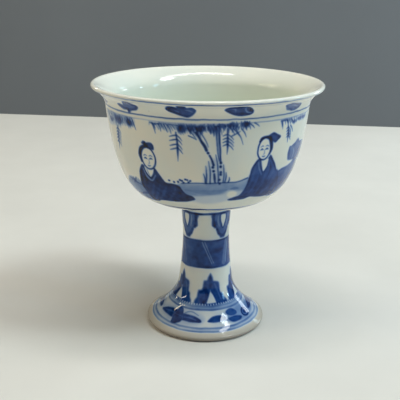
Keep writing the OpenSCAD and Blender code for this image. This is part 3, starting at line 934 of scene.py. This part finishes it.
def inner_glaze():
    """Clear glaze inside the bowl, greener low down. It is paler at the lip, partly from worn, fritted glaze
    and partly as a painted highlight.
    """
    nodes = Nodes("inner_glaze")
    height = nodes.height()
    body = nodes.ramp(nodes.range(height, *INSIDE_DEPTH), INNER_STOPS)
    cloudy = nodes.mix(nodes.range(nodes.noise(60), 0.35, 0.65, 0, 0.35), body, GLAZE_CLOUD)
    # The fritted lip band is lighter in colour: partly worn glaze, partly a painted highlight
    worn_and_highlit = nodes.range(height, *LIP_INSIDE)
    frits = nodes.range(nodes.noise(420, 4), 0.4, 0.64, 0.2)
    lip = nodes.mix(nodes.math("MULTIPLY", worn_and_highlit, frits), cloudy, GLAZE_LIP_AND_HIGHLIGHT)
    nodes.set(Base_Color=specked(nodes, lip))
    glaze_skin(nodes)
    return nodes.material


def bare_clay():
    """Fired clay, burnt brown near the edge of the glaze and dusty elsewhere."""
    nodes = Nodes("bare_clay")
    grain = nodes.noise(700, 5, 0.65)
    stains = nodes.noise(90)
    edge = nodes.range(nodes.height(), *BURNT_EDGE, 1, 0.12)
    share = nodes.math("MULTIPLY", edge, nodes.range(stains, 0.2, 0.5, 0.8))
    nodes.set(Base_Color=nodes.mix(share, nodes.ramp(grain, CLAY_STOPS), nodes.ramp(stains, BURNT_STOPS)))
    nodes.set(Roughness=nodes.range(grain, 0.3, 0.7, 0.7, 0.92))
    nodes.bump(grain, 0.00012)
    return nodes.material


def luting_slip():
    """Slip, smoother and paler than the clay."""
    nodes = Nodes("luting_slip")
    grain = nodes.noise(1100, 4)
    nodes.set(Base_Color=nodes.ramp(grain, SLIP_STOPS), Roughness=nodes.range(grain, 0.3, 0.7, 0.6, 0.8))
    nodes.bump(grain, 0.00006)
    return nodes.material


# Pieces

looks = {"painted_glaze": painted_glaze(), "inner_glaze": inner_glaze()}
painted_coat("bowl_outer_glaze", "painted_bowl_glaze", BOWL_COLUMNS, BOWL_START, paint_bowl)
painted_coat("stem_glaze", "painted_stem_glaze", STEM_COLUMNS, STEM_START, paint_stem)

inside_shown, inside_hidden = inside_faces("bowl_inner_glaze")
inside_face = even_line(inside_shown, 2 * RING_STEP)
inside_face[0, 0] = 0
inner = turned_mesh("bowl_inside_glaze", np.vstack([inside_face, inside_hidden]), INSIDE_COLUMNS,
                    [len(inside_face) - 2, len(inside_face) - 1])
finish_piece(inner, "bowl_inner_glaze", "inner_glaze")

for material, node_names in [(bare_clay(), ("bowl", "stem", "foot")),
                             (luting_slip(), ("bowl_luting_ring", "stem_luting_ring"))]:
    for node_name in node_names:
        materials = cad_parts[node_name].data.materials
        materials.clear()
        materials.append(material)


# Floor and backdrop

FLOOR_HALF = 4  # metres
BACKDROP_Y = 0.453  # metres behind the axis of the cup
BACKDROP_SLANT = 0.1187  # metres nearer for each metre to the right
BACKDROP_HEIGHT = 1.2  # metres


def sheet_object(name, left_y, right_y, across, stops, scale):
    """A flat, matt, very faintly cloudy sheet for the stage, from its lower edge across."""
    nodes = Nodes(name + "_cloth")
    nodes.set(Base_Color=nodes.ramp(nodes.noise(scale, 4), stops), Roughness=0.9)
    edge = np.array([(-FLOOR_HALF, left_y, 0), (FLOOR_HALF, right_y, 0)])
    mesh = bpy.data.meshes.new(name)
    mesh.from_pydata(np.vstack([edge, edge[::-1] + across]).tolist(), [], [(0, 1, 2, 3)])
    mesh.materials.append(nodes.material)
    piece = linked(name, mesh)


sheet_object("floor", -FLOOR_HALF, -FLOOR_HALF, (0, 2 * FLOOR_HALF, 0), FLOOR_STOPS, 14)
slant = BACKDROP_SLANT * FLOOR_HALF
sheet_object("backdrop", BACKDROP_Y + slant, BACKDROP_Y - slant, (0, 0, BACKDROP_HEIGHT), BACKDROP_STOPS, 3)


# Light and camera

AIM = (0, 0, 0.06)  # where lamps point
ROOM_COLOUR = (0.98, 0.98, 1, 1)
ROOM_LIGHT = 0.02
CAMERA_PLACE = (0, -0.3184, 0.15965)
CAMERA_LENS = 66.6  # millimetres, on a sensor 36 mm wide
CAMERA_PITCH = 17.81  # degrees down
CAMERA_YAW = -0.52  # degrees to the right
CAMERA_ROLL = 0.47  # degrees
CAMERA_NEAREST = 0.01  # metres


def facing(azimuth, elevation, spin):
    """How a thing that faces the cup is turned, in degrees; spin is about its line of sight."""
    turn, rise, spin = (math.radians(angle) for angle in (azimuth, elevation, spin))
    tilt = Matrix.Rotation(math.pi / 2 - rise, 4, "X")
    return Matrix.Rotation(turn, 4, "Z") @ tilt @ Matrix.Rotation(spin, 4, "Z")


def panel(name, azimuth, elevation, distance, width, height, power, colour, spin=0):
    """A light that faces the cup; azimuth in degrees to the right of the front."""
    lamp = bpy.data.lights.new(name, "AREA")
    lamp.shape = "RECTANGLE"
    lamp.size = width
    lamp.size_y = height
    lamp.energy = power
    lamp.color = colour
    light = linked(name, lamp)
    away = Matrix.Translation((0, 0, distance))
    light.matrix_world = Matrix.Translation(AIM) @ facing(azimuth, elevation, spin) @ away
    light.visible_camera = False


panel("overhead_strip", 63.4, 78.9, 1.16, 1.1, 0.13, 7.1, (1, 0.99, 0.96), spin=-63)
panel("top_left_panel", -75, 62, 1.3, 1.2, 1.2, 3, (1, 0.87, 0.7))
panel("front_soft_panel", -8, 30, 1.5, 0.9, 0.7, 1.3, (1, 0.95, 0.88))
panel("right_window_1", 92, 13, 1.18, 0.12, 0.08, 0.9, (0.5, 0.85, 1))
panel("right_window_2", 71, 17, 1.18, 0.15, 0.34, 1.7, (0.3, 0.7, 1))
panel("window_panel", 69, 54.5, 2.4, 0.46, 0.54, 20.5, (0.88, 0.98, 1))
panel("back_window_panel", 126, 9.4, 0.6, 0.14, 0.16, 0.6, (0.85, 0.95, 1), spin=-40)
panel("left_lamp_row", -85, 19.5, 1.2, 0.38, 0.03, 0.9, (1, 0.95, 0.85))
panel("left_lamp_strip", -92, 31.5, 1.2, 0.42, 0.035, 1, (1, 0.84, 0.5))
for number, (azimuth, elevation) in enumerate([(-92, 27.3), (-77, 34.1), (-113.5, 13)]):
    panel(f"left_lamp_{number + 1}", azimuth, elevation, 1.2, 0.05, 0.05, 0.2, (1, 0.86, 0.56))
panel("back_lamp_1", 135, 24, 0.5, 0.08, 0.05, 0.06, (0.6, 0.85, 1))
panel("back_lamp_2", -142.8, 24.2, 0.5, 0.025, 0.025, 0.03, (1, 0.95, 0.8))

world = bpy.data.worlds.new("room_light")
world.use_nodes = True
background = world.node_tree.nodes["Background"].inputs
background["Color"].default_value = ROOM_COLOUR
background["Strength"].default_value = ROOM_LIGHT
scene.world = world

camera = linked("camera", bpy.data.cameras.new("camera"))
camera.data.lens = CAMERA_LENS
camera.data.clip_start = CAMERA_NEAREST
camera.matrix_world = Matrix.Translation(CAMERA_PLACE) @ facing(-CAMERA_YAW, CAMERA_PITCH, CAMERA_ROLL)
scene.camera = camera
scene.view_settings.view_transform = "Standard"
